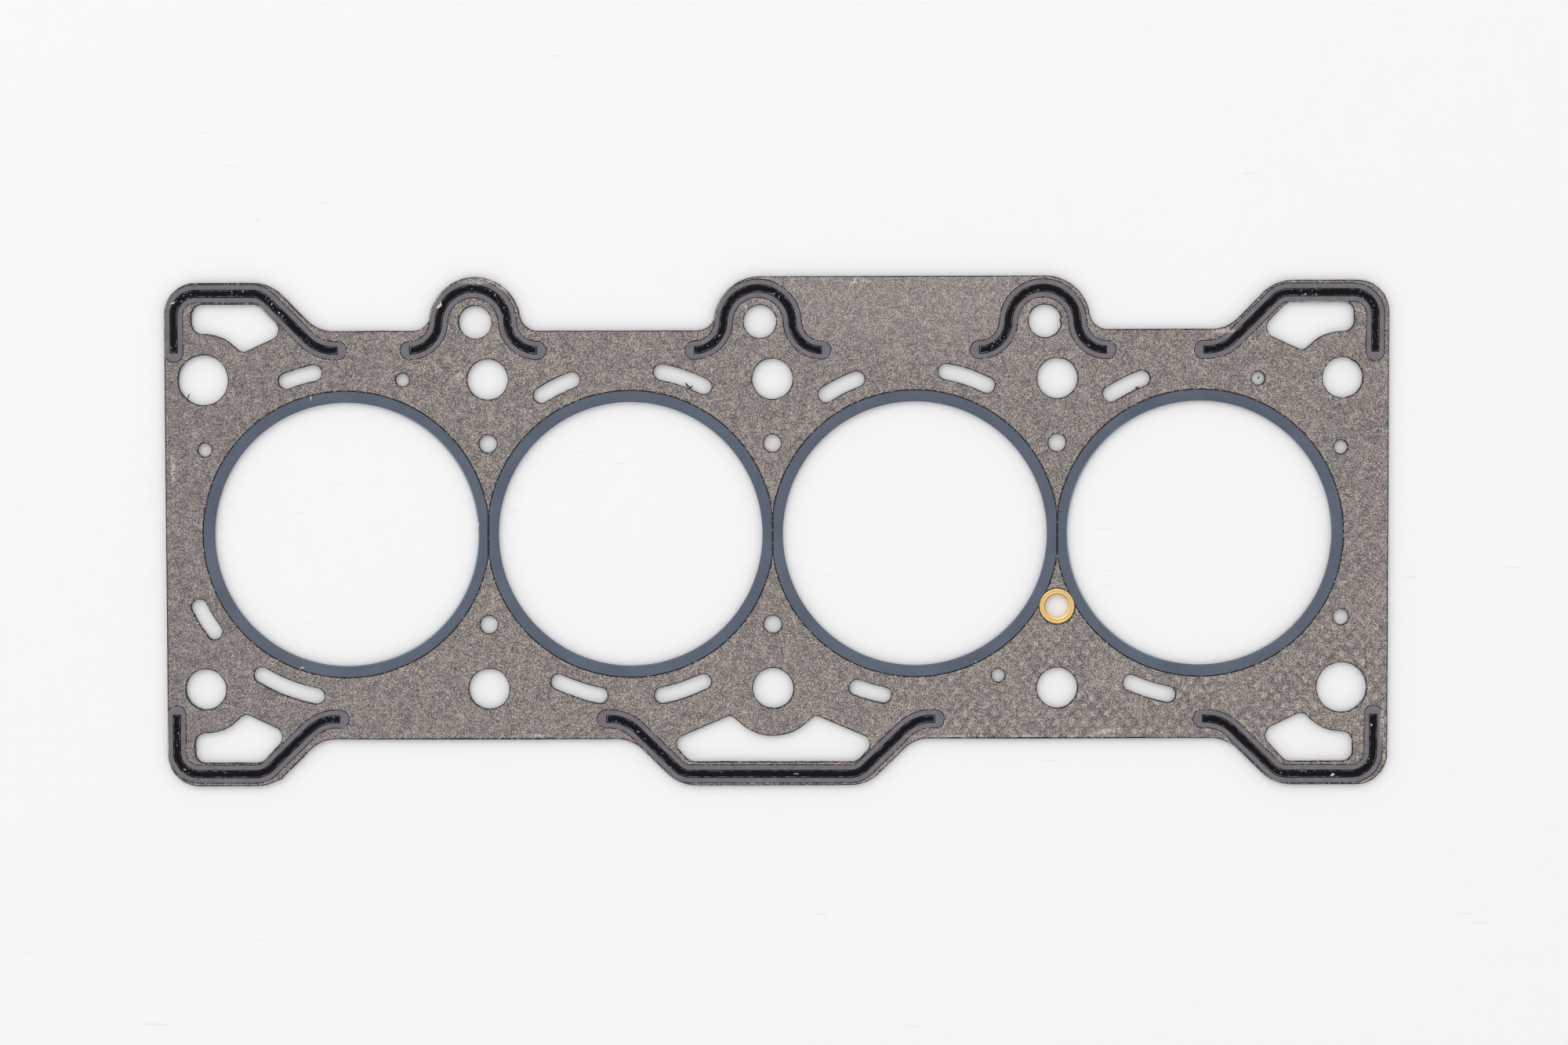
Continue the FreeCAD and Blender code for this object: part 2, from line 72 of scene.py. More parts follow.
# %% [markdown]
# ## Heights and places
#
# The layers are thinner than a millimetre, so a few heights decide everything. They are taken from
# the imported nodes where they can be. The troughs are pressed 0.08 mm deep.

# %% Heights and places
CORE_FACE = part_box("core_plate")[1].z
SHEET_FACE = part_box("upper_facing")[1].z
RING_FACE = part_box("fire_ring_1")[1].z
TROUGH_FLOOR = SHEET_FACE - 0.08 * MM
BORE_PITCH = 84 * MM
BORES = [Vector(((n - 2.5) * BORE_PITCH, 0, 0)) for n in range(1, 5)]
BORE_RADIUS = 39 * MM
EYELET = (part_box("oil_eyelet")[0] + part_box("oil_eyelet")[1]) / 2
print("faces in mm: core", CORE_FACE / MM, "sheet", SHEET_FACE / MM, "ring", RING_FACE / MM)
print("eyelet at", [round(value / MM, 3) for value in EYELET])

# %% [markdown]
# ## The camera
#
# The photograph looks straight down from about a metre, with a long lens. Its place and its small
# tilt were worked out from the bolt holes and the cylinder openings.

# %% The camera
camera_data = bpy.data.cameras.new("camera")
camera_data.lens = 76.97
camera_data.sensor_width = 36
camera = bpy.data.objects.new("camera", camera_data)
camera.location = (9.94 * MM, 43.21 * MM, 989.97 * MM)
camera.rotation_euler = [math.radians(angle) for angle in (-2.3098, 0.3752, -0.1485)]
bpy.context.scene.collection.objects.link(camera)
bpy.context.scene.camera = camera
bpy.context.scene.view_settings.view_transform = "Standard"
print("camera", camera_data.lens, "mm at", [round(value, 3) for value in camera.location])

# %% [markdown]
# ## Shader sums
#
# A finish is mostly arithmetic on masks. A small class wraps a socket, so that an expression such as
# 1 - mask adds its own Math node. Every other node comes from one method, which sets the node's
# settings first and then gives its sockets a value or a link.

# %% Shader sums
class Value:
    """A socket that can be added, multiplied and compared."""

    def __init__(self, finish, socket):
        self.finish = finish
        self.socket = socket

    def sum(self, operation, first, second):
        return self.finish.node("ShaderNodeMath", {"operation": operation}, {0: first, 1: second})

    def __add__(self, other):
        return self.sum("ADD", self, other)

    def __radd__(self, other):
        return self.sum("ADD", other, self)

    def __sub__(self, other):
        return self.sum("SUBTRACT", self, other)

    def __rsub__(self, other):
        return self.sum("SUBTRACT", other, self)

    def __mul__(self, other):
        return self.sum("MULTIPLY", self, other)

    def __rmul__(self, other):
        return self.sum("MULTIPLY", other, self)

    def either(self, other):
        return self.sum("MAXIMUM", self, other)

    def step(self, low, high):
        """0 below low, 1 above high, and smooth between."""
        return self.finish.node(
            "ShaderNodeMapRange",
            {"interpolation_type": "SMOOTHSTEP"},
            {"Value": self, "From Min": low, "From Max": high},
        )


class Finish:
    """One material, built node by node."""

    def __init__(self, name):
        self.material = bpy.data.materials.new(name)
        self.start(self.material, "Principled BSDF", "Object")

    def start(self, owner, shader, place):
        owner.use_nodes = True
        self.tree = owner.node_tree
        self.shader = self.tree.nodes[shader]
        self.place = self.node("ShaderNodeTexCoord", {}, {}, place)

    def node(self, kind, settings, sockets, output=0):
        made = self.tree.nodes.new(kind)
        for name, value in settings.items():
            if name == "stops":
                self.set_stops(made.color_ramp, value)
            else:
                setattr(made, name, value)
        for name, value in sockets.items():
            self.feed(made.inputs[name], value)
        return Value(self, made.outputs[output])

    def feed(self, socket, value):
        if isinstance(value, Value):
            self.tree.links.new(value.socket, socket)
        else:
            socket.default_value = value

    def set_stops(self, ramp, stops):
        while len(ramp.elements) < len(stops):
            ramp.elements.new(0.5)
        for element, (place, colour) in zip(ramp.elements, stops):
            element.position = place
            element.color = colour

    def noise(self, size, detail=2, roughness=0.5, place=None):
        """Cloudy noise with blobs of this size in metres."""
        return self.node(
            "ShaderNodeTexNoise",
            {},
            {"Vector": place or self.place, "Scale": 1 / size, "Detail": detail, "Roughness": roughness},
        )

    def mix(self, mask, first, second):
        return self.node("ShaderNodeMix", {"data_type": "RGBA"}, {0: mask, 6: first, 7: second}, 2)

    def split(self, axis):
        return self.node("ShaderNodeSeparateXYZ", {}, {"Vector": self.place}, axis)

    def size(self, value):
        return self.node("ShaderNodeMath", {"operation": "ABSOLUTE"}, {0: value})

    def from_bore(self):
        """Distance from the axis of the nearest of the four cylinders."""
        aside = self.size(self.size(self.size(self.split("X")) - BORE_PITCH) - BORE_PITCH / 2)
        flat = self.node("ShaderNodeCombineXYZ", {}, {"X": aside, "Y": self.split("Y")})
        return self.node("ShaderNodeVectorMath", {"operation": "LENGTH"}, {0: flat}, "Value")

    def spot(self, x, y, long, wide, turn, ragged):
        """1 inside a ragged patch: place and size in millimetres, turn in degrees."""
        place = self.node(
            "ShaderNodeMapping",
            {"vector_type": "TEXTURE"},
            {
                "Vector": self.place,
                "Location": (x * MM, y * MM, 0),
                "Rotation": (0, 0, math.radians(turn)),
                "Scale": (long * MM / 2, wide * MM / 2, 1),
            },
        )
        far = self.node("ShaderNodeVectorMath", {"operation": "LENGTH"}, {0: place}, "Value")
        return 1 - (far + ragged).step(0.75, 1.15)

    def bump(self, height, depth, strength):
        return self.node(
            "ShaderNodeBump", {}, {"Height": height, "Distance": depth, "Strength": strength}
        )

    def use(self, **sockets):
        names = {"colour": "Base Color", "rough": "Roughness", "shine": "Specular IOR Level"}
        for name, value in sockets.items():
            label = names.get(name, name.title())
            self.feed(self.shader.inputs[label], value)


def paint(red, green, blue):
    """A colour as a picture shows it, 0 to 255, as linear light."""
    parts = [value / 255 for value in (red, green, blue)]
    parts = [p / 12.92 if p <= 0.04045 else ((p + 0.055) / 1.055) ** 2.4 for p in parts]
    return (*parts, 1)


class Sky(Finish):
    """The world is made of nodes too, and its place is the direction looked in."""

    def __init__(self, name):
        self.world = bpy.data.worlds.new(name)
        self.start(self.world, "Background", "Generated")


print("paint(128, 128, 128) is", [round(value, 3) for value in paint(128, 128, 128)])

# %% [markdown]
# ## Light
#
# The picture was taken with soft light from all round, a little more of it from the far side,
# because the folds on the near side of each opening catch it. A white world of strength 1 shows a
# colour as it is written, so the world and the lamp share that strength. Shiny things tell more:
# the flat eyelet shows bright, so what it mirrors straight above is bright too, and the light falls
# off lower down, except on the far left.

# %% Light
studio = Sky("studio")
bpy.context.scene.world = studio.world
mirrored = studio.node("ShaderNodeLightPath", {}, {}, "Is Glossy Ray")
looked_at = studio.node("ShaderNodeLightPath", {}, {}, "Is Camera Ray")
low_down = 1 - studio.split("Z").step(0.8, 0.99)
far_left = (studio.split("Y") - studio.split("X") * 0.6).step(-0.5, 0.6)
in_mirrors = 0.85 + low_down * (far_left * 0.9 - 0.6)
plain = looked_at * 0.96 + (1 - looked_at) * 0.88
strength = mirrored * in_mirrors + (1 - mirrored) * plain
studio.feed(studio.shader.inputs["Color"], (1, 1, 1, 1))
studio.feed(studio.shader.inputs["Strength"], strength)

lamp_data = bpy.data.lights.new("soft_box", "AREA")
lamp_data.shape = "RECTANGLE"
lamp_data.size = 2.2
lamp_data.size_y = 1.6
lamp_data.energy = 19
lamp = bpy.data.objects.new("soft_box", lamp_data)
lamp.location = (-0.8, 1.9, 2.4)
aim = Vector((0, 0, 0)) - lamp.location
lamp.rotation_euler = aim.to_track_quat("-Z", "Y").to_euler()
bpy.context.scene.collection.objects.link(lamp)
print("lamp", lamp_data.energy, "W at", [round(value, 2) for value in lamp.location])

# %% [markdown]
# ## The table
#
# The gasket lies on a sheet of near-white plastic with faint hairline scratches. Light spreads a
# little inside the plastic, so the sheet looks greyer through a small hole than through a large one.
# The sheet is the stage, and isn't part of the gasket.

# %% The table
bpy.ops.object.select_all(action="DESELECT")
bpy.ops.mesh.primitive_plane_add(size=8, location=(0, 0, -RING_FACE - 0.02 * MM))
table = bpy.context.object
table.name = "table"
sheet = Finish("white_plastic")
stretched = sheet.node(
    "ShaderNodeMapping", {}, {"Vector": sheet.place, "Rotation": (0, 0, 0.25), "Scale": (0.1, 1, 1)}
)
hairs = sheet.noise(1.1 * MM, 1, 0.5, stretched).step(0.72, 0.8) * sheet.noise(60 * MM).step(0.5, 0.65)
clouds = sheet.noise(120 * MM, 1)
ground = sheet.mix(clouds, paint(249, 248, 249), paint(251, 250, 251))
sheet.use(colour=sheet.mix(hairs, ground, paint(234, 234, 230)), rough=0.5, shine=0.1)
sheet.shader.inputs["Subsurface Weight"].default_value = 0.55
sheet.shader.inputs["Subsurface Radius"].default_value = (1, 1, 1)
sheet.shader.inputs["Subsurface Scale"].default_value = 4.5 * MM
table.data.materials.append(sheet.material)
print("table at", round(table.location.z / MM, 2), "mm")

# %% [markdown]
# ## A working copy of a solid
#
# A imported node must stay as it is, and its mesh is loose triangles. A finished piece starts from a
# merged copy, where flat faces can be joined again, and then it replaces the node.

# %% A working copy of a solid
def start_edit(piece):
    bpy.ops.object.select_all(action="DESELECT")
    piece.select_set(True)
    bpy.context.view_layer.objects.active = piece
    bpy.ops.object.mode_set(mode="EDIT")
    bpy.ops.mesh.select_mode(type="VERT")
    bpy.ops.mesh.select_all(action="DESELECT")


def stop_edit():
    bpy.ops.object.mode_set(mode="OBJECT")


def working_copy(node, name):
    mesh = frame["nodes"][node].data.copy()
    mesh.name = name
    mesh.materials.clear()
    piece = bpy.data.objects.new(name, mesh)
    bpy.context.scene.collection.objects.link(piece)
    start_edit(piece)
    bpy.ops.mesh.select_all(action="SELECT")
    bpy.ops.mesh.remove_doubles(threshold=0.002 * MM)
    stop_edit()
    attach(piece, "root")
    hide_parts(node)
    return piece


def choose_faces(piece, test):
    """Selects in edit mode the faces that pass a test."""
    bpy.ops.mesh.select_mode(type="FACE")
    bpy.ops.mesh.select_all(action="DESELECT")
    shape = bmesh.from_edit_mesh(piece.data)
    for face in shape.faces:
        if test(face):
            face.select_set(True)
    bmesh.update_edit_mesh(piece.data)


# %% [markdown]
# ## Die-cut edges
#
# A die shears the soft graphite, so every cut edge wanders by a tenth of a millimetre, with a burr
# here and there. The edges where a level face meets a wall are cut into short lengths first. The
# edges that the rings and the eyelet cover stay true.

# %% Cut the rims into short lengths
SAME_LEVEL = 0.003 * MM
SHORT = 0.45 * MM
RING_REACH = BORE_RADIUS + 4 * MM
EYELET_REACH = 6 * MM


def covered(place):
    """True where a ring or the eyelet hides the edge."""
    flat = Vector((place.x, place.y, 0))
    near_ring = any((flat - bore).length < RING_REACH for bore in BORES)
    near_eyelet = (flat - Vector((EYELET.x, EYELET.y, 0))).length < EYELET_REACH
    return near_ring or near_eyelet


def at_level(place, level):
    return abs(abs(place.z) - level) < SAME_LEVEL


def cut_up_rims(piece):
    start_edit(piece)
    shape = bmesh.from_edit_mesh(piece.data)
    by_cuts = {}
    for edge in shape.edges:
        level_sides = sum(abs(face.normal.z) > 0.5 for face in edge.link_faces)
        cuts = int(edge.calc_length() / SHORT)
        if level_sides == 1 and cuts and not covered(edge.verts[0].co):
            by_cuts.setdefault(cuts, []).append(edge)
    for cuts, edges in by_cuts.items():
        bmesh.ops.subdivide_edges(shape, edges=edges, cuts=cuts)
    bmesh.update_edit_mesh(piece.data)
    stop_edit()
    return sum(len(edges) for edges in by_cuts.values())


# %% [markdown]
# Each point then moves sideways by noise. The noise is read at the point's place seen from above,
# so the points of one wall move alike. Near a trough they move less. Blender takes the seed of
# noise_vector from the clock, so it is set here, and the edges come out the same each time.

# %% The wander of a cut edge
noise.seed_set(84)
CALM_BY_TROUGH = 1.2 * MM
HUNDREDTH = 0.01 * MM


def wander(place):
    """How far a cut edge leaves its drawn place here."""
    flat = Vector((place.x, place.y, 0))
    fine = noise.noise_vector(flat / (0.9 * MM))
    slow = noise.noise_vector(flat / (5 * MM) + Vector((7, 3, 0)))
    burr = max(0, noise.noise(flat / (1.3 * MM) + Vector((0, 0, 5))) - 0.42)
    move = fine * 0.09 + slow * 0.09 + fine * burr * 1.5
    return Vector((move.x, move.y, 0)) * MM


def spot_below(v):
    """The place seen from above, in whole hundredths of a millimetre."""
    return round(v.co.x / HUNDREDTH), round(v.co.y / HUNDREDTH)


LOW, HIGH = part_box("upper_facing")


def keep_in_box(place):
    """The outermost edges only move inwards, so the size stays as imported."""
    place.x = min(max(place.x, LOW.x), HIGH.x)
    place.y = min(max(place.y, LOW.y), HIGH.y)


def roughen(piece):
    start_edit(piece)
    shape = bmesh.from_edit_mesh(piece.data)
    cut = {spot_below(v) for v in shape.verts if at_level(v.co, CORE_FACE) and not covered(v.co)}
    troughs = [v for v in shape.verts if at_level(v.co, TROUGH_FLOOR)]
    tree = kdtree.KDTree(len(troughs))
    for index, v in enumerate(troughs):
        tree.insert(Vector((v.co.x, v.co.y, 0)), index)
    tree.balance()
    moved = [v for v in shape.verts if spot_below(v) in cut]
    for v in moved:
        gap = tree.find(Vector((v.co.x, v.co.y, 0)))[2]
        v.co += wander(v.co) * min(1, gap / CALM_BY_TROUGH)
        keep_in_box(v.co)
    bmesh.update_edit_mesh(piece.data)
    stop_edit()
    return len(moved)


# %% [markdown]
# The die also rolls the rim of each cut over, and the rim of each pressed trough is soft. An inset
# of the outer face gives it a narrow band along every rim, and the band's outer points drop a little.

# %% Rolled rims
ROLL_WIDE = 0.3 * MM
ROLL_DEEP = 0.045 * MM


def roll_rims(piece):
    start_edit(piece)
    shape = bmesh.from_edit_mesh(piece.data)
    level = [face for face in shape.faces
             if abs(face.normal.z) > 0.5 and at_level(face.calc_center_median(), SHEET_FACE)]
    band = bmesh.ops.inset_region(shape, faces=level, use_boundary=True, thickness=ROLL_WIDE, depth=0)
    inner = {v for face in level for v in face.verts}
    rolled = {v for face in band["faces"] for v in face.verts} - inner
    for v in rolled:
        v.co.z -= math.copysign(ROLL_DEEP, v.co.z)
    for v in inner:
        keep_in_box(v.co)
    bmesh.update_edit_mesh(piece.data)
    stop_edit()
    return len(rolled)


upper = working_copy("upper_facing", "graphite_upper")
lower = working_copy("lower_facing", "graphite_lower")
for piece in (upper, lower):
    print(piece.name, "rim edges cut up:", cut_up_rims(piece))
    print(piece.name, "points moved:", roughen(piece), "rolled:", roll_rims(piece))
    print(piece.name, "faces:", len(piece.data.polygons))

# %% [markdown]
# ## Graphite
#
# Pressed graphite is grey, with a grain of a third of a millimetre: bright flakes, dark pits and a
# few beige fibres. It is darker at the left end and lighter on the tab. The floors of the troughs
# are pressed smooth and look violet grey, and the cut walls are nearly black. Height alone tells
# these apart, so one finish does it all.

# %% Graphite: the grain
graphite = Finish("graphite")
grain = graphite.noise(0.3 * MM, 1, 0.7)
flecks = graphite.noise(0.62 * MM, 1, 0.5)
cloud = graphite.noise(2.4 * MM, 2, 0.6)
drift = graphite.noise(45 * MM, 2, 0.5)
along = graphite.split("X")
across = graphite.split("Y")
height = graphite.size(graphite.split("Z"))
print("graphite grain of", 0.3, "mm")

# %% [markdown]
# The steel core under the facing has rows of tangs. At the lower right they show through as a faint
# pattern of lozenges: dimples 4.2 mm apart in a row, with the rows set over by half. The product of
# two cosines is just such a pattern.

# %% Graphite: the lozenges
def wave(value, pitch):
    return graphite.node(
        "ShaderNodeMath", {"operation": "COSINE"}, {0: value * (2 * math.pi / (pitch * MM))}
    )


wobble = (graphite.noise(7 * MM, 1) - 0.5) * 1.6 * MM
lozenges = (wave(along + wobble, 4.2) * wave(across + wobble, 5.1)).step(-0.2, 0.9)
lower_right = along.step(20 * MM, 75 * MM) * (1 - across.step(-45 * MM, 20 * MM))
print_through = (0.12 + lower_right * 0.88) * graphite.noise(16 * MM, 1).step(0.25, 0.6)

# %% [markdown]
# The colour comes from a ramp over the grain. Height tells the rest apart: the floors of the troughs
# are pressed smooth and look violet grey, the rolled rims are dark with a few bright frayed bits, and
# the cut walls are nearly black. The dark of the rims and of the walls is partly crushed graphite and
# partly painted shade.

# %% Graphite: the colour
tone = 0.51 + (grain - 0.5) * 1.1 + (flecks - 0.5) * 0.2 + (cloud - 0.5) * 0.26
tone = tone + (lozenges - 0.45) * print_through * 0.1 + lower_right * 0.015
speckle = graphite.node(
    "ShaderNodeValToRGB",
    {"stops": [
        (0.26, paint(62, 56, 60)),
        (0.44, paint(112, 106, 107)),
        (0.56, paint(142, 134, 130)),
        (0.76, paint(206, 194, 180)),
    ]},
    {"Fac": tone},
)
left_end = 1 - (along + drift * 60 * MM).step(-150 * MM, -60 * MM)
tinted = graphite.mix(left_end * 0.12, speckle, paint(84, 80, 88))
tab = along.step(-25 * MM, 20 * MM) * (1 - along.step(55 * MM, 95 * MM)) * across.step(44 * MM, 70 * MM)
tinted = graphite.mix(tab * 0.1, tinted, paint(208, 202, 198))
pressed = 1 - height.step(TROUGH_FLOOR + 0.004 * MM, TROUGH_FLOOR + 0.012 * MM)
smooth = graphite.mix((grain * 0.7 + cloud * 0.3).step(0.3, 0.7), paint(98, 94, 101), paint(128, 123, 130))
with_troughs = graphite.mix(pressed, tinted, smooth)
# The rolled rims: dark, partly crushed graphite and partly painted shade.
rim_crush_and_shade = (1 - height.step(SHEET_FACE - 0.012 * MM, SHEET_FACE - 0.001 * MM)) * (1 - pressed)
# Painted shadow: a dark band just outside each ring seat stands for the shadow in the gap by the ring,
# over some crushed graphite.
ring_gap_shadow_and_crush = 1 - (graphite.from_bore() + grain * 0.5 * MM).step(42.55 * MM, 42.85 * MM)
# The cut walls: nearly black, partly their own colour and partly painted shade.
cut_wall_dark_and_shade = 1 - height.step(TROUGH_FLOOR - 0.03 * MM, TROUGH_FLOOR - 0.01 * MM)
frayed = graphite.noise(0.8 * MM, 1).step(0.58, 0.66)
dark = graphite.mix(frayed * 0.7, paint(14, 12, 14), paint(158, 152, 146))
near_black = graphite.mix(grain, paint(38, 36, 38), paint(70, 66, 68))
coloured = graphite.mix(rim_crush_and_shade.either(ring_gap_shadow_and_crush), with_troughs, dark)
coloured = graphite.mix(cut_wall_dark_and_shade, coloured, near_black)

# %% [markdown]
# Wear keeps about its place: whitish scuffs on the first ear, on the tab, by the last waist and on
# the near edge. A broken whitish line runs just inside the near edge of the last waist, where the die
# has pressed the sheet.

# %% Graphite: the scuffs
ragged = (cloud - 0.5) * 1.6 + (grain - 0.5) * 1.2
SCUFFS = (
    (-87, 74.6, 11, 1.6, 0), (-79.5, 72.6, 5, 1.2, -35), (24, 73.9, 4, 1.2, 60), (27.5, 74.4, 3, 0.8, 0),
    (133, 59.4, 7, 1.4, 0), (-70.4, -59.7, 7, 1.0, 0), (98.5, -58.7, 7, 1.8, 8), (-177.2, 20, 1.2, 9, 0),
    (180, -57, 1.0, 12, 0), (-92.5, 46.5, 3, 2.2, 30), (111, -29.5, 2.6, 1.0, -50), (148, 58.5, 6, 1.2, 0),
)
scuffed = graphite.spot(*SCUFFS[0], ragged)
for place in SCUFFS[1:]:
    scuffed = scuffed.either(graphite.spot(*place, ragged))
scuffed = scuffed * (0.08 + flecks.step(0.4, 0.62) * 0.5)
pressed_line = graphite.spot(70, -60.05, 66, 0.5, 0, (grain - 0.5) * 0.8) * cloud.step(0.42, 0.55)
scuffed = scuffed.either(pressed_line * 0.5)
graphite.use(
    colour=graphite.mix(scuffed, coloured, paint(218, 214, 210)),
    rough=0.62 + grain * 0.2,
    normal=graphite.bump(grain + flecks * 0.5 - lozenges * print_through * 0.3, 0.05 * MM, 0.5),
    shine=0.3,
)
for piece in (upper, lower):
    piece.data.materials.append(graphite.material)
print("scuffs:", len(SCUFFS), "graphite nodes:", len(graphite.tree.nodes))

# %% [markdown]
# ## Flaps, fibres and flakes
#
# The die has left small flaps of graphite in some openings, and flakes lie on a few beads. Each
# starts as a disc, drawn out along its length. Its points move by noise, and a solidify gives it
# thickness. They lie about where the photograph has them, and their sizes and turns are listed.

# %% Flaps, fibres and flakes
SCRAP_THICK = 0.03 * MM


def shred(name, x, y, z, long, wide, turn):
    """A torn scrap: place, length and width in millimetres, turn in degrees."""
    bpy.ops.object.select_all(action="DESELECT")
    bpy.ops.mesh.primitive_circle_add(vertices=14, radius=0.5 * MM, fill_type="NGON")
    piece = bpy.context.object
    piece.name = name
    turned = math.radians(turn)
    for v in piece.data.vertices:
        torn = 1 + 0.8 * noise.noise(v.co / (0.4 * MM) + Vector((x, y, 0)))
        side, bent = v.co.x * long * torn, v.co.y * wide * torn
        bent += 0.25 * side * math.sin(side / MM * 1.4)
        v.co.x = x * MM + side * math.cos(turned) - bent * math.sin(turned)
        v.co.y = y * MM + side * math.sin(turned) + bent * math.cos(turned)
        v.co.z = z * MM
    thick = piece.modifiers.new("thick", "SOLIDIFY")
    thick.thickness = SCRAP_THICK
    bpy.ops.object.modifier_apply(modifier=thick.name)
    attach(piece, "root")
    return piece


lint = Finish("lint")
lint_grain = lint.noise(0.3 * MM, 1)
lint.use(colour=lint.mix(lint_grain, paint(30, 27, 28), paint(70, 62, 58)), rough=0.8, shine=0.1)
chalk = Finish("pale_flake")
chalk_grain = chalk.noise(0.4 * MM, 1)
chalk.use(colour=chalk.mix(chalk_grain, paint(176, 172, 166), paint(226, 222, 214)), rough=0.8, shine=0.1)
FLAP_HEIGHT = 0.62
FLAKE_HEIGHT = 0.79
FLAPS = (
    (-24.9, 43.7, 2.6, 0.45, -40), (-23.9, 43.3, 1.5, 0.4, 35), (-172.6, 40.5, 2.4, 0.3, 55),
    (107.5, 42.9, 1.4, 0.5, 20), (143.2, 45.7, 1.0, 0.5, 70), (-138.2, 49.6, 1.1, 0.6, 15),
    (-168.8, 53.9, 1.0, 0.6, 10), (-165.6, 53.0, 0.8, 0.5, -20), (-175.7, 48.4, 0.8, 0.7, 60),
)
FLAKES = (
    (-176.7, 68.5, 1.5, 0.45, 10), (-97.9, 67.6, 2.3, 0.9, 62), (165.5, -71.8, 1.2, 0.7, 30),
    (176.9, -57, 0.6, 0.5, 0), (-147.5, 68.1, 0.9, 0.25, 60), (-145.4, 65.6, 0.7, 0.3, -50),
)
for number, (x, y, long, wide, turn) in enumerate(FLAPS, 1):
    flap = shred(f"flap_{number}", x, y, FLAP_HEIGHT, long, wide, turn)
    flap.data.materials.append(lint.material)
for number, (x, y, long, wide, turn) in enumerate(FLAKES, 1):
    flake = shred(f"flake_{number}", x, y, FLAKE_HEIGHT, long, wide, turn)
    flake.data.materials.append(chalk.material)
print("scraps:", len(FLAPS) + len(FLAKES))

# %% [markdown]
# ## Fire rings
#
# Each ring is one strip of steel with a slate-blue coating, folded round the edge of the opening.
# Its section is drawn once as a C, spun round the cylinder, and cut flat where its neighbour begins.
# The outer edge wanders a little inside its seat, as a pressed edge does.

# %% Fire rings
RING_STEEL = 0.2 * MM
RING_FLANGE = 3.3 * MM
FOLD = 0.35 * MM


def quarter(centre, radius, first, steps):
    """Points of a quarter turn that starts at this angle in degrees."""
    angles = [math.radians(first + 90 * step / steps) for step in range(steps + 1)]
    return [(centre[0] + radius * math.cos(a), centre[1] + radius * math.sin(a)) for a in angles]


def c_section(hole, width, metal, fold, top):
    """The section of a folded ring as radius and height, from the flange's upper edge and round."""
    near = hole + fold
    ledge = top - fold
    soft = metal * 0.3
    outer = [(hole + width - soft, top)] + quarter((near, ledge), fold, 90, 6)
    outer += quarter((near, -ledge), fold, 180, 6) + [(hole + width - soft, -top)]
    inner = [(hole + width, -top + soft), (hole + width, metal - top)]
    inner += quarter((near, -ledge), fold - metal, 270, 6)[::-1]
    inner += quarter((near, ledge), fold - metal, 180, 6)[::-1]
    return outer + inner + [(hole + width, top - metal), (hole + width, top - soft)]


def spun(name, section, centre, steps):
    mesh = bpy.data.meshes.new(name)
    points = [(centre.x + radius, centre.y, height) for radius, height in section]
    count = len(points)
    mesh.from_pydata(points, [(index, (index + 1) % count) for index in range(count)], [])
    piece = bpy.data.objects.new(name, mesh)
    bpy.context.scene.collection.objects.link(piece)
    start_edit(piece)
    bpy.ops.mesh.select_all(action="SELECT")
    bpy.ops.mesh.spin(steps=steps, angle=2 * math.pi, center=(centre.x, centre.y, 0), axis=(0, 0, 1))
    bpy.ops.mesh.select_all(action="SELECT")
    bpy.ops.mesh.remove_doubles(threshold=0.001 * MM)
    bpy.ops.mesh.normals_make_consistent(inside=False)
    stop_edit()
    return piece


rings = []
for number, bore in enumerate(BORES, 1):
    section = c_section(BORE_RADIUS, RING_FLANGE, RING_STEEL, FOLD, RING_FACE)
    ring = spun(f"ring_{number}", section, bore, 288)
    start_edit(ring)
    shape = bmesh.from_edit_mesh(ring.data)
    for v in shape.verts:
        out = Vector((v.co.x, v.co.y, 0)) - bore
        if out.length > BORE_RADIUS + RING_FLANGE - 0.1 * MM:
            v.co += out.normalized() * (noise.noise(v.co / (1.6 * MM)) * 0.045 - 0.02) * MM
    bmesh.update_edit_mesh(ring.data)
    low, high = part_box(f"fire_ring_{number}")
    for edge, way in ((low.x, -1), (high.x, 1)):
        if abs(edge - bore.x) < BORE_RADIUS + RING_FLANGE - 0.1 * MM:
            bpy.ops.mesh.select_all(action="SELECT")
            bpy.ops.mesh.bisect(
                plane_co=(edge, 0, 0), plane_no=(way, 0, 0), use_fill=True, clear_outer=True
            )
    stop_edit()
    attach(ring, "root")
    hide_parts(f"fire_ring_{number}")
    rings.append(ring)
    print(ring.name, "faces:", len(ring.data.polygons))

# %% [markdown]
# ### Room for the eyelet
#
# The eyelet sits between the last two rings, and both are cut round to clear it. A boolean with a
# plain drum does the same.

# %% Room for the eyelet
bpy.ops.object.select_all(action="DESELECT")
bpy.ops.mesh.primitive_cylinder_add(
    vertices=96, radius=5.28 * MM, depth=6 * MM, location=(EYELET.x, EYELET.y, 0)
)
drum = bpy.context.object
for ring in rings[2:]:
    cut = ring.modifiers.new("eyelet_room", "BOOLEAN")
    cut.operation = "DIFFERENCE"
    cut.object = drum
    bpy.ops.object.select_all(action="DESELECT")
    bpy.context.view_layer.objects.active = ring
    ring.select_set(True)
    bpy.ops.object.modifier_apply(modifier=cut.name)
    print(ring.name, "faces:", len(ring.data.polygons))
bpy.data.objects.remove(drum)
for ring in rings:
    bpy.ops.object.select_all(action="DESELECT")
    bpy.context.view_layer.objects.active = ring
    ring.select_set(True)
    bpy.ops.object.shade_smooth_by_angle(angle=math.radians(35))

# %% [markdown]
# ### The ring's coating
#
# The coating is a matt slate blue, a little darker in patches, with a fine grain and a bright scratch
# here and there where it has come off. A dark line stands in for the shadow at the outer edge. In the
# photograph the folds of the first and the last ring catch the light on the side that faces the
# middle of the gasket. A lighter colour stands in for that here, and isn't wear.

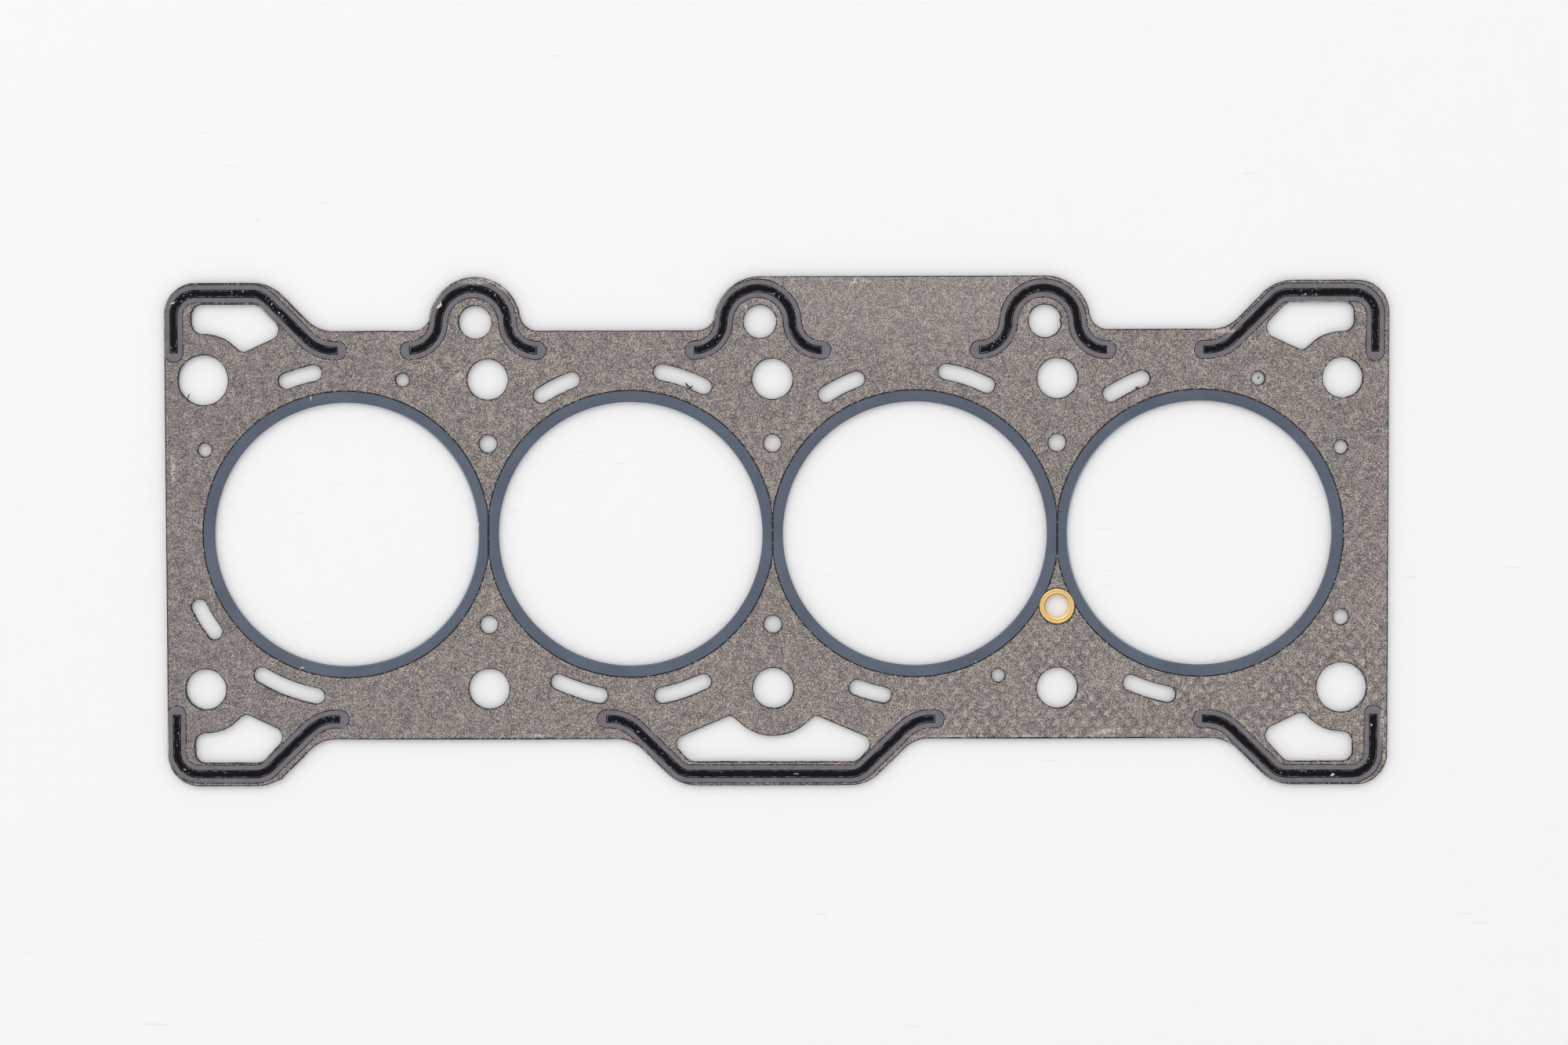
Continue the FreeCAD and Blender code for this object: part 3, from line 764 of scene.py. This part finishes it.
# %% The ring's coating
coating = Finish("slate_coating")
mist = coating.noise(14 * MM, 3, 0.55)
fine = coating.noise(0.35 * MM, 2, 0.6)
colour = coating.mix(mist.step(0.3, 0.7), paint(80, 88, 104), paint(90, 98, 113))
colour = coating.mix(fine.step(0.4, 0.8) * 0.25, colour, paint(118, 124, 136))
radius = coating.from_bore()
middle = coating.size(coating.split("X"))
fold = 1 - radius.step(39.2 * MM, 39.5 * MM)
lit_fold = fold * middle.step(84 * MM, 88 * MM) * (1 - middle.step(92 * MM, 122 * MM))
colour = coating.mix(lit_fold * 0.75, colour, paint(158, 172, 176))
edge_line = (radius + fine * 0.3 * MM).step(42.3 * MM, 42.42 * MM)
colour = coating.mix(edge_line * 0.8, colour, paint(38, 38, 44))
ticks = (
    (-136.2, 40.6, 0.35, 1.9, 0), (-139.5, -39.4, 1.5, 0.35, 20), (138.2, -40.6, 0.5, 0.5, 0),
    (-12, 30.5, 1.2, 0.3, 45), (60, -38.2, 0.3, 1.0, 0), (-86.9, 3, 0.3, 1.4, 0),
)
bare = coating.spot(*ticks[0], fine - 0.5)
for place in ticks[1:]:
    bare = bare.either(coating.spot(*place, fine - 0.5))
coating.use(
    colour=coating.mix(bare, colour, paint(205, 205, 205)),
    rough=0.36 + fine * 0.12,
    metallic=0.15 + bare * 0.5,
    normal=coating.bump(fine, 0.01 * MM, 0.3),
    shine=0.4,
)
for ring in rings:
    ring.data.materials.append(coating.material)
print("coating nodes:", len(coating.tree.nodes))

# %% [markdown]
# ## The eyelet
#
# A short tube of copper alloy, rolled over on both sides. The flange is crowned: high near the hole,
# dished in the middle and turned down at its outer edge, so it shows bright rims.

# %% The eyelet
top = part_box("oil_eyelet")[1].z
HOLE = 3.45 * MM
upper_half = [
    (5.12, -0.16), (5.18, -0.12), (5.16, -0.07), (5.06, -0.03), (4.92, -0.006), (4.78, -0.002),
    (4.64, -0.014), (4.48, -0.044), (4.32, -0.05), (4.16, -0.028), (4.04, -0.006), (3.94, 0.0),
    (3.82, -0.014), (3.7, -0.05), (3.6, -0.11), (3.52, -0.2), (3.47, -0.31), (3.45, -0.45),
]
skin = [(radius * MM, top + drop * MM) for radius, drop in upper_half]
under = [(max(radius, 3.63) * MM, top + min(drop, -0.02) * MM - 0.14 * MM)
         for radius, drop in ((5.14, 0), (4.6, 0), (4.0, -0.02), (3.72, -0.16), (3.63, -0.35))]
section = skin + [(radius, -height) for radius, height in skin[::-1]]
section += [(radius, -height) for radius, height in under]
section += under[::-1]
eyelet = spun("eyelet", section, Vector((EYELET.x, EYELET.y, 0)), 96)
bpy.ops.object.shade_smooth()
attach(eyelet, "root")
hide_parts("oil_eyelet")
copper = Finish("copper_alloy")
wear = copper.noise(0.8 * MM, 3, 0.6)
copper.use(
    colour=copper.mix(wear, paint(252, 194, 112), paint(255, 224, 160)),
    metallic=1.0,
    rough=0.26 + wear * 0.16,
    normal=copper.bump(wear, 0.02 * MM, 0.3),
)
eyelet.data.materials.append(copper.material)
print("eyelet faces:", len(eyelet.data.polygons))

# %% [markdown]
# ## Sealing beads
#
# The rubber is printed through a screen and dries with two ridges, one along each side. The top of
# each solid bead is inset twice: the first band is the ridge, and what lies within it is sunk. A
# number on each point, 1 on the ridges, tells the finish where to paint a highlight along the ridges.

# %% Sealing beads
beads = []
for node in frame["nodes"]:
    if "_bead_" not in node:
        continue
    bead = working_copy(node, "rubber_" + node.replace("_bead", ""))
    side = 1 if node.startswith("upper") else -1
    top = max(side * v.co.z for v in bead.data.vertices)
    start_edit(bead)
    bpy.ops.mesh.select_all(action="SELECT")
    bpy.ops.mesh.dissolve_limited(angle_limit=math.radians(0.4))
    choose_faces(bead, lambda f: abs(side * f.calc_center_median().z - top) < SAME_LEVEL)
    bpy.ops.mesh.inset(thickness=0.28 * MM, depth=0)
    shape = bmesh.from_edit_mesh(bead.data)
    ridge = shape.verts.layers.float.new("ridge")
    for v in shape.verts:
        if v.select:
            v[ridge] = 1
    bmesh.update_edit_mesh(bead.data)
    bpy.ops.mesh.inset(thickness=0.2 * MM, depth=-0.05 * MM)
    shape = bmesh.from_edit_mesh(bead.data)
    ridge = shape.verts.layers.float["ridge"]
    for v in shape.verts:
        if v.select:
            v[ridge] = 0
    bmesh.update_edit_mesh(bead.data)
    stop_edit()
    beads.append(bead)
print("beads:", len(beads), "faces:", sum(len(bead.data.polygons) for bead in beads))

# %% Black rubber
rubber = Finish("black_rubber")
skin_noise = rubber.noise(0.9 * MM, 3, 0.6)
broken = rubber.noise(2.2 * MM, 2, 0.6).step(0.44, 0.62)
on_ridge = rubber.node("ShaderNodeAttribute", {"attribute_name": "ridge"}, {}, "Fac")
light_specks = rubber.noise(0.55 * MM, 0, 0.5).step(0.72, 0.8) * rubber.noise(9 * MM, 1).step(0.46, 0.62)
# Painted highlight: the ridges are drawn lighter in broken lines. Small light specks are added as well.
ridge_highlight_and_specks = (on_ridge.step(0.5, 1) * (0.06 + broken * 0.42)).either(light_specks * 0.7)
rubber.use(
    colour=rubber.mix(ridge_highlight_and_specks, paint(13, 13, 16), paint(176, 176, 182)),
    rough=0.24 + skin_noise * 0.16,
    normal=rubber.bump(skin_noise, 0.05 * MM, 0.45),
    shine=0.1,
)
for bead in beads:
    bead.data.materials.append(rubber.material)
print("rubber nodes:", len(rubber.tree.nodes))

# %% [markdown]
# ## The steel core
#
# Only its cut edge shows, from the side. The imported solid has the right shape, so it stays and gets
# a steel finish with the fine upright scratches that a punch leaves.

# %% The steel core
steel = Finish("core_steel")
upright = steel.node("ShaderNodeMapping", {}, {"Vector": steel.place, "Scale": (1, 1, 0.05)})
streaks = steel.noise(0.12 * MM, 2, 0.6, upright)
steel.use(
    colour=steel.mix(streaks, paint(96, 95, 96), paint(150, 149, 150)),
    metallic=0.9,
    rough=0.38 + streaks * 0.2,
    normal=steel.bump(streaks, 0.01 * MM, 0.3),
)
core = frame["nodes"]["core_plate"]
core.data.materials.clear()
core.data.materials.append(steel.material)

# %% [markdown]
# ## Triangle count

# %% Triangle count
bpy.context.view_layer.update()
triangles = sum(len(p.vertices) - 2 for o in bpy.data.objects if o.type == "MESH" for p in o.data.polygons)
print("triangles in all meshes:", triangles)
